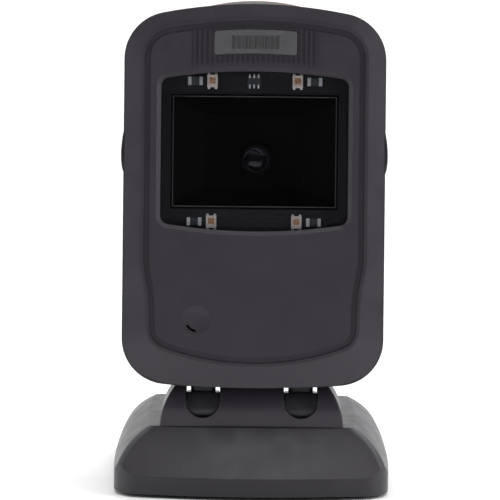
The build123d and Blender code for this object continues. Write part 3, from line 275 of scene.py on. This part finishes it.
def tinted_window():
    """The scan window: a smoke-tinted pane, whose low index stands in for an anti-reflection coating."""
    paint = Paint("smoked_window", (0.74, 0.74, 0.78), 0.01)
    wipes = paint.noise(9 * MM, detail=3, rough=0.5, stretch=(5, 1, 1))
    paint.join(paint.spread(wipes, 0.0, 0.02), paint.shader.inputs["Roughness"])
    paint.set(Transmission_Weight=1.0, IOR=1.18)
    return paint.material


def optical_glass():
    """A coated lens, dark but for a faint bloom."""
    paint = Paint("coated_lens", (0.40, 0.38, 0.44), 0.02)
    bloom = paint.noise(2 * MM, detail=2)
    paint.join(paint.spread(bloom, 0.01, 0.04), paint.shader.inputs["Roughness"])
    paint.set(Transmission_Weight=1.0, IOR=1.5, Specular_IOR_Level=0.25)
    return paint.material


def milky_plastic():
    """The light pipe's translucent white plastic."""
    paint = Paint("milky_light_pipe", (0.50, 0.52, 0.51), 0.30)
    cloud = paint.noise(3 * MM, detail=3)
    paint.tint(paint.spread(cloud, 0.2, 0.8), 0.06)
    paint.gloss(cloud, 0.05)
    paint.bump(cloud, 0.02 * MM, 0.5)
    paint.set(Subsurface_Weight=0.35, Subsurface_Scale=1.5 * MM)
    return paint.material


def nameplate_metal(name, colour, speck):
    """Bead-blasted dark metallic plate."""
    paint = Paint(name, colour, 0.50, metallic=0.35)
    beads = paint.noise(0.28 * MM, detail=3, rough=0.7)
    sweep = paint.noise(7 * MM, detail=2)
    grey = paint.tint(paint.spread(sweep, 0.2, 0.8), 0.10)
    bright = paint.blend(paint.spread(beads, 0, 1, 0.55, 0.75), grey, speck)
    paint.join(bright, paint.shader.inputs["Base Color"])
    paint.gloss(beads, 0.10)
    paint.bump(beads, 0.05 * MM, 0.9)
    return paint.material


def led_chip_material():
    """The orange phosphor and die in the middle of a light's package."""
    paint = Paint("orange_phosphor", (0.70, 0.30, 0.10), 0.3)
    grains = paint.noise(0.5 * MM, detail=2)
    mixed = paint.blend(paint.spread(grains, 0, 1), (0.30, 0.10, 0.03), (1.0, 0.62, 0.34))
    paint.join(mixed, paint.shader.inputs["Base Color"])
    paint.gloss(grains, 0.08)
    paint.bump(grains, 0.03 * MM, 0.6)
    return paint.material


def led_body_material():
    """The off-white moulded package of a light."""
    paint = Paint("led_package", (0.95, 0.86, 0.76), 0.4)
    cloud = paint.noise(0.8 * MM, detail=3)
    paint.tint(paint.spread(cloud, 0, 1), 0.12)
    paint.gloss(cloud, 0.08)
    paint.bump(cloud, 0.02 * MM, 0.5)
    return paint.material


CASING = textured_plastic("charcoal_casing", (0.0310, 0.0268, 0.0350), 0.40)
STAND = textured_plastic("charcoal_stand", (0.0250, 0.0220, 0.0285), 0.38)
BUTTON = textured_plastic("charcoal_button", (0.0280, 0.0245, 0.0310), 0.34, grain=0.3 * MM)
LEG = smooth_plastic("black_leg", (0.032, 0.029, 0.035), 0.35)
INNER_BLACK = smooth_plastic("black_inner", (0.0020, 0.0020, 0.0024), 0.6, shine=0.06)
# Lighter grey for the strip on the aperture frame's rim: a painted highlight, not the frame's own
# colour.
FRAME_EDGE_HIGHLIGHT = smooth_plastic("frame_edge_painted_highlight", (0.14, 0.14, 0.15), 0.4)
CHIP = smooth_plastic("chip_black", (0.016, 0.016, 0.018), 0.38)
RESISTOR = smooth_plastic("resistor_body", (0.075, 0.080, 0.085), 0.40)
FOAM = rubber("black_foam", (0.012, 0.012, 0.012), 0.9)
FOOT = rubber("foot_rubber", (0.018, 0.018, 0.018), 0.8)
BLACK_BOARD = circuit_board("black_board", (0.004, 0.005, 0.006), (0.009, 0.010, 0.011))
GREEN_BOARD = circuit_board("green_board", (0.010, 0.070, 0.030), (0.030, 0.130, 0.050))
STEEL = brushed_metal("plated_steel", (0.55, 0.55, 0.56), 0.30)
BLACK_SCREW = brushed_metal("black_oxide", (0.05, 0.05, 0.052), 0.38, (1, 1, 8))
SOLDER = brushed_metal("solder", (0.92, 0.92, 0.93), 0.45, (1, 1, 3))
GOLD = brushed_metal("gold_plate", (0.86, 0.62, 0.24), 0.22, (1, 20, 1))
LENS_METAL = brushed_metal("anodised_barrel", (0.030, 0.030, 0.034), 0.35, (1, 1, 1))
BALLAST = cast_metal("ballast_iron", (0.11, 0.105, 0.10), 0.6)
RIBBON = smooth_plastic("amber_ribbon", (0.42, 0.20, 0.04), 0.25)
WINDOW = tinted_window()
LENS = optical_glass()
MILKY = milky_plastic()
NAMEPLATE = nameplate_metal("blasted_nameplate", (0.085, 0.085, 0.090), (0.19, 0.19, 0.20))
PLATE_RELIEF = nameplate_metal("relief_metal", (0.040, 0.040, 0.043), (0.07, 0.07, 0.075))
LED_CHIP = led_chip_material()
LED_BODY = led_body_material()

CAD_MATERIALS = {
    "front_casing": CASING,
    "rear_casing": CASING,
    "scan_window": WINDOW,
    "window_gasket": FOAM,
    "nameplate": NAMEPLATE,
    "indicator_light_pipe": MILKY,
    "status_led": LED_BODY,
    "illumination_board": BLACK_BOARD,
    "illumination_leds": LED_BODY,
    "led_resistors": RESISTOR,
    "light_sensor_chip": RESISTOR,
    "aperture_frame": INNER_BLACK,
    "board_screws": BLACK_SCREW,
    "camera_housing": INNER_BLACK,
    "lens_barrel": LENS_METAL,
    "lens_glass": LENS,
    "image_sensor": CHIP,
    "engine_board": GREEN_BOARD,
    "engine_screws": STEEL,
    "flex_cable": RIBBON,
    "main_board": GREEN_BOARD,
    "main_board_chips": CHIP,
    "main_board_screws": STEEL,
    "cable_socket": INNER_BLACK,
    "socket_contacts": GOLD,
    "beeper": INNER_BLACK,
    "beeper_gasket": FOAM,
    "casing_screws": BLACK_SCREW,
    "trigger_switches": CHIP,
    "switch_boards": GREEN_BOARD,
    "leg_bracket": LEG,
    "leg_bracket_screws": STEEL,
    "base_shell": STAND,
    "base_plate": STAND,
    "base_screws": BLACK_SCREW,
    "ballast_weight": BALLAST,
    "rubber_feet": FOOT,
    "neck_shroud": CASING,
    "pivot_shaft": STEEL,
    "shaft_nut": STEEL,
    "friction_washers": STEEL,
    "pivot_bracket": STEEL,
    "pivot_bracket_screws": STEEL,
    "left_trigger_button": BUTTON,
    "right_trigger_button": BUTTON,
}


def dress_cad_nodes():
    """Gives every CAD node its material."""
    for node, material in CAD_MATERIALS.items():
        cad = NODES[node]
        cad.data.materials.clear()
        cad.data.materials.append(material)


# ---------------------------------------------------------------- mesh helpers

SHARP_EDGE = radians(35)


def finish_piece(mesh_builder, name, material, body, bevel=0.0, segments=2):
    """Turns a bmesh into a named piece that rides on a body, its sharp edges bevelled if asked."""
    mesh = bpy.data.meshes.new(name)
    mesh_builder.to_mesh(mesh)
    mesh_builder.free()
    for polygon in mesh.polygons:
        polygon.use_smooth = True
    piece = bpy.data.objects.new(name, mesh)
    bpy.context.scene.collection.objects.link(piece)
    mesh.materials.append(material)
    if bevel:
        rounding = piece.modifiers.new("rounding", "BEVEL")
        rounding.width = bevel
        rounding.segments = segments
        rounding.limit_method = "ANGLE"
        rounding.angle_limit = SHARP_EDGE
    piece.modifiers.new("shading", "WEIGHTED_NORMAL").keep_sharp = True
    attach(piece, body)
    return piece


def add_block(builder, low, high):
    """A box between two corners given in the head's directions."""
    made = bmesh.ops.create_cube(builder, size=1.0)
    size = high - low
    middle = (high + low) / 2
    for vertex in made["verts"]:
        local = Vector((vertex.co.x * size.x, vertex.co.y * size.y, vertex.co.z * size.z)) + middle
        vertex.co = HEAD_TURN @ local


# ---------------------------------------------------------------- detail on the illumination board

def end_caps():
    """Soldered metal ends wrapped over each resistor."""
    cap_length = 0.95 * MM
    skin = 0.06 * MM
    off_board = 0.02 * MM
    builder = bmesh.new()
    for low, high in solids_of("led_resistors"):
        for start, end in ((low.x - skin, low.x + cap_length), (high.x - cap_length, high.x + skin)):
            cap_low = Vector((start, low.y - skin, low.z - skin))
            cap_high = Vector((end, high.y - off_board, high.z + skin))
            add_block(builder, cap_low, cap_high)
    finish_piece(builder, "resistor_end_caps", SOLDER, "head", bevel=0.12 * MM)


def light_pads():
    """The four solder pads at the corners of each light."""
    pad = 0.7 * MM
    inset = 0.1 * MM
    overhang = 0.75
    thickness = 0.12 * MM
    builder = bmesh.new()
    for low, high in solids_of("illumination_leds"):
        for x in (low.x + inset, high.x - inset - pad):
            for z in (low.z - pad * overhang, high.z - pad * (1 - overhang)):
                corner = Vector((x, high.y - thickness, z))
                add_block(builder, corner, corner + Vector((pad, thickness * 0.9, pad)))
    finish_piece(builder, "light_pads", SOLDER, "head", bevel=0.08 * MM)


def light_chips():
    """The orange die and its resin in the well of each light, a little above its middle."""
    half = 0.85 * MM
    depth_front = 0.42 * MM
    depth_back = 0.58 * MM
    above_middle = 0.2 * MM
    builder = bmesh.new()
    for low, high in solids_of("illumination_leds"):
        middle = (low + high) / 2
        centre_z = middle.z + above_middle
        front = Vector((middle.x - half, low.y + depth_front, centre_z - half))
        back = Vector((middle.x + half, low.y + depth_back, centre_z + half))
        add_block(builder, front, back)
    finish_piece(builder, "light_chips", LED_CHIP, "head", bevel=0.25 * MM, segments=3)


def sensor_pins():
    """Fine pins along the top and bottom of the sensor chip."""
    low, high = head_span("light_sensor_chip")
    count = 3
    pin = 0.45 * MM
    reach = 0.55 * MM
    proud = 0.05 * MM
    off_board = 0.03 * MM
    pitch = (high.x - low.x) / count
    builder = bmesh.new()
    for step in range(count):
        x = low.x + pitch * (step + 0.5) - pin / 2
        for z_low, z_high in ((low.z - reach, low.z + reach), (high.z - reach, high.z + reach)):
            front = Vector((x, low.y - proud, z_low))
            back = Vector((x + pin, high.y - off_board, z_high))
            add_block(builder, front, back)
    finish_piece(builder, "sensor_pins", SOLDER, "head", bevel=0.08 * MM)


def aperture_rim_highlight():
    """A painted highlight: a thin strip of lighter grey plastic along the inner edge of the aperture
    frame's mouth, standing in for the light caught on its rim.
    """
    low, _ = head_span("aperture_frame")
    flat = 0.05 * MM
    wall = 0.7 * MM
    line = 0.22 * MM
    proud = 0.06 * MM
    corners = [in_head(v.co) for v in NODES["aperture_frame"].data.vertices]
    rim_low, rim_high = span_of([corner for corner in corners if corner.y < low.y + flat])
    left = rim_low.x + wall
    right = rim_high.x - wall
    bottom = rim_low.z + wall
    top = rim_high.z - wall
    builder = bmesh.new()
    for x_low, x_high, z_low, z_high in (
        (left - line, left, bottom - line, top + line),
        (right, right + line, bottom - line, top + line),
        (left, right, bottom - line, bottom),
        (left, right, top, top + line),
    ):
        front = Vector((x_low, low.y - proud, z_low))
        back = Vector((x_high, low.y + proud, z_high))
        add_block(builder, front, back)
    # The strip is a painted highlight: lighter grey where the rim would catch the light.
    finish_piece(builder, "aperture_rim_highlight", FRAME_EDGE_HIGHLIGHT, "head")


# ---------------------------------------------------------------- nameplate relief

def nameplate_bars():
    """A generic row of raised bars on the nameplate, like a printed code."""
    low, high = head_span("nameplate")
    middle = (low + high) / 2
    widths = (3, 1, 2, 1, 1, 3, 2, 1, 3, 1, 1, 2, 3, 1, 2, 1, 3)
    unit = 0.24 * MM
    gap = 1.6 * unit
    total = sum(widths) * unit + (len(widths) - 1) * gap
    half_height = 1.9 * MM
    proud = 0.12 * MM
    x = middle.x - total / 2
    builder = bmesh.new()
    for width in widths:
        end = x + width * unit
        bar_low = Vector((x, low.y - proud, middle.z - half_height))
        bar_high = Vector((end, low.y + proud, middle.z + half_height))
        add_block(builder, bar_low, bar_high)
        x = end + gap
    finish_piece(builder, "nameplate_bars", PLATE_RELIEF, "head", bevel=0.06 * MM)


# ---------------------------------------------------------------- stage, lights and camera

FLOOR_HALF_WIDTH = 6.0
WORLD_STRENGTH_IN_FRONT = 0.08
WORLD_STRENGTH_BEHIND = 1.0
WORLD_FADE_START = -0.8
WORLD_FADE_END = 0.6
SUN_STRENGTH = 2.4
SUN_SPREAD = radians(70)
SIDE_WIDTH = 0.16
SIDE_HEIGHT = 0.45
RIGHT_POWER = 1.2
LEFT_POWER = 0.7


def stage_floor():
    """A wide pale floor."""
    paint = Paint("pale_floor", (0.86, 0.86, 0.86), 0.75)
    mottle = paint.noise(0.4, detail=2)
    paint.tint(paint.spread(mottle, 0.4, 0.6), 0.01)
    builder = bmesh.new()
    bmesh.ops.create_grid(builder, x_segments=8, y_segments=8, size=FLOOR_HALF_WIDTH)
    mesh = bpy.data.meshes.new("floor")
    builder.to_mesh(mesh)
    builder.free()
    mesh.materials.append(paint.material)
    floor = bpy.data.objects.new("floor", mesh)
    bpy.context.scene.collection.objects.link(floor)


def softbox(name, place, target, power):
    """An upright area light aimed at a point."""
    data = bpy.data.lights.new(name, "AREA")
    data.shape = "RECTANGLE"
    data.size = SIDE_WIDTH
    data.size_y = SIDE_HEIGHT
    data.energy = power
    lamp = bpy.data.objects.new(name, data)
    lamp.location = place
    lamp.rotation_euler = (Vector(target) - Vector(place)).to_track_quat("-Z", "Y").to_euler()
    bpy.context.scene.collection.objects.link(lamp)


def studio_world():
    """Soft light from all round: white behind the object and dim on the camera's side."""
    world = bpy.data.worlds.new("studio")
    bpy.context.scene.world = world
    world.use_nodes = True
    tree = world.node_tree
    place = tree.nodes.new("ShaderNodeTexCoord")
    parts = tree.nodes.new("ShaderNodeSeparateXYZ")
    fade = tree.nodes.new("ShaderNodeMapRange")
    fade.interpolation_type = "SMOOTHSTEP"
    fade.inputs["From Min"].default_value = WORLD_FADE_START
    fade.inputs["From Max"].default_value = WORLD_FADE_END
    fade.inputs["To Min"].default_value = WORLD_STRENGTH_IN_FRONT
    fade.inputs["To Max"].default_value = WORLD_STRENGTH_BEHIND
    tree.links.new(place.outputs["Generated"], parts.inputs["Vector"])
    tree.links.new(parts.outputs["Y"], fade.inputs["Value"])
    tree.links.new(fade.outputs["Result"], tree.nodes["Background"].inputs["Strength"])
    tree.nodes["Background"].inputs["Color"].default_value = (1, 1, 1, 1)


def soft_sun(name, coming_from):
    """A broad, distant light that reaches the whole floor alike."""
    data = bpy.data.lights.new(name, "SUN")
    data.energy = SUN_STRENGTH
    data.angle = SUN_SPREAD
    lamp = bpy.data.objects.new(name, data)
    lamp.rotation_euler = (-Vector(coming_from)).to_track_quat("-Z", "Y").to_euler()
    bpy.context.scene.collection.objects.link(lamp)


def studio_lights():
    """A broad light from above, and one at each side, the right one stronger."""
    aim = (0, 0, 0.08)
    soft_sun("overhead", (0.12, 0.28, 1.0))
    softbox("right_side", (0.42, -0.16, 0.26), aim, RIGHT_POWER)
    softbox("left_side", (-0.42, -0.16, 0.24), aim, LEFT_POWER)


CAMERA_DISTANCE = 0.80
CAMERA_ELEVATION = radians(7.5)
CAMERA_ROLL = radians(0.6)
VIEW_WIDTH_AT_AIM = 0.1466
AIM = Vector((-0.0010, -0.020, 0.0706))


def camera():
    """The camera, a little above the head, looking slightly down."""
    data = bpy.data.cameras.new("camera")
    data.sensor_width = 36
    data.lens = data.sensor_width * CAMERA_DISTANCE / VIEW_WIDTH_AT_AIM
    data.clip_start = 0.01
    away = Vector((0, -cos(CAMERA_ELEVATION), sin(CAMERA_ELEVATION)))
    seer = bpy.data.objects.new("camera", data)
    seer.location = AIM + away * CAMERA_DISTANCE
    turn = (-away).to_track_quat("-Z", "Y").to_matrix()
    roll = Matrix.Rotation(CAMERA_ROLL, 3, "Z")
    seer.rotation_euler = (turn @ roll).to_euler()
    bpy.context.scene.collection.objects.link(seer)
    bpy.context.scene.camera = seer


def colour_management():
    """Plain photographic rendering with no tone curve."""
    view = bpy.context.scene.view_settings
    view.view_transform = "Standard"
    view.look = "None"


# ---------------------------------------------------------------- build

dress_cad_nodes()
end_caps()
light_pads()
light_chips()
sensor_pins()
aperture_rim_highlight()
nameplate_bars()
stage_floor()
studio_world()
studio_lights()
camera()
colour_management()
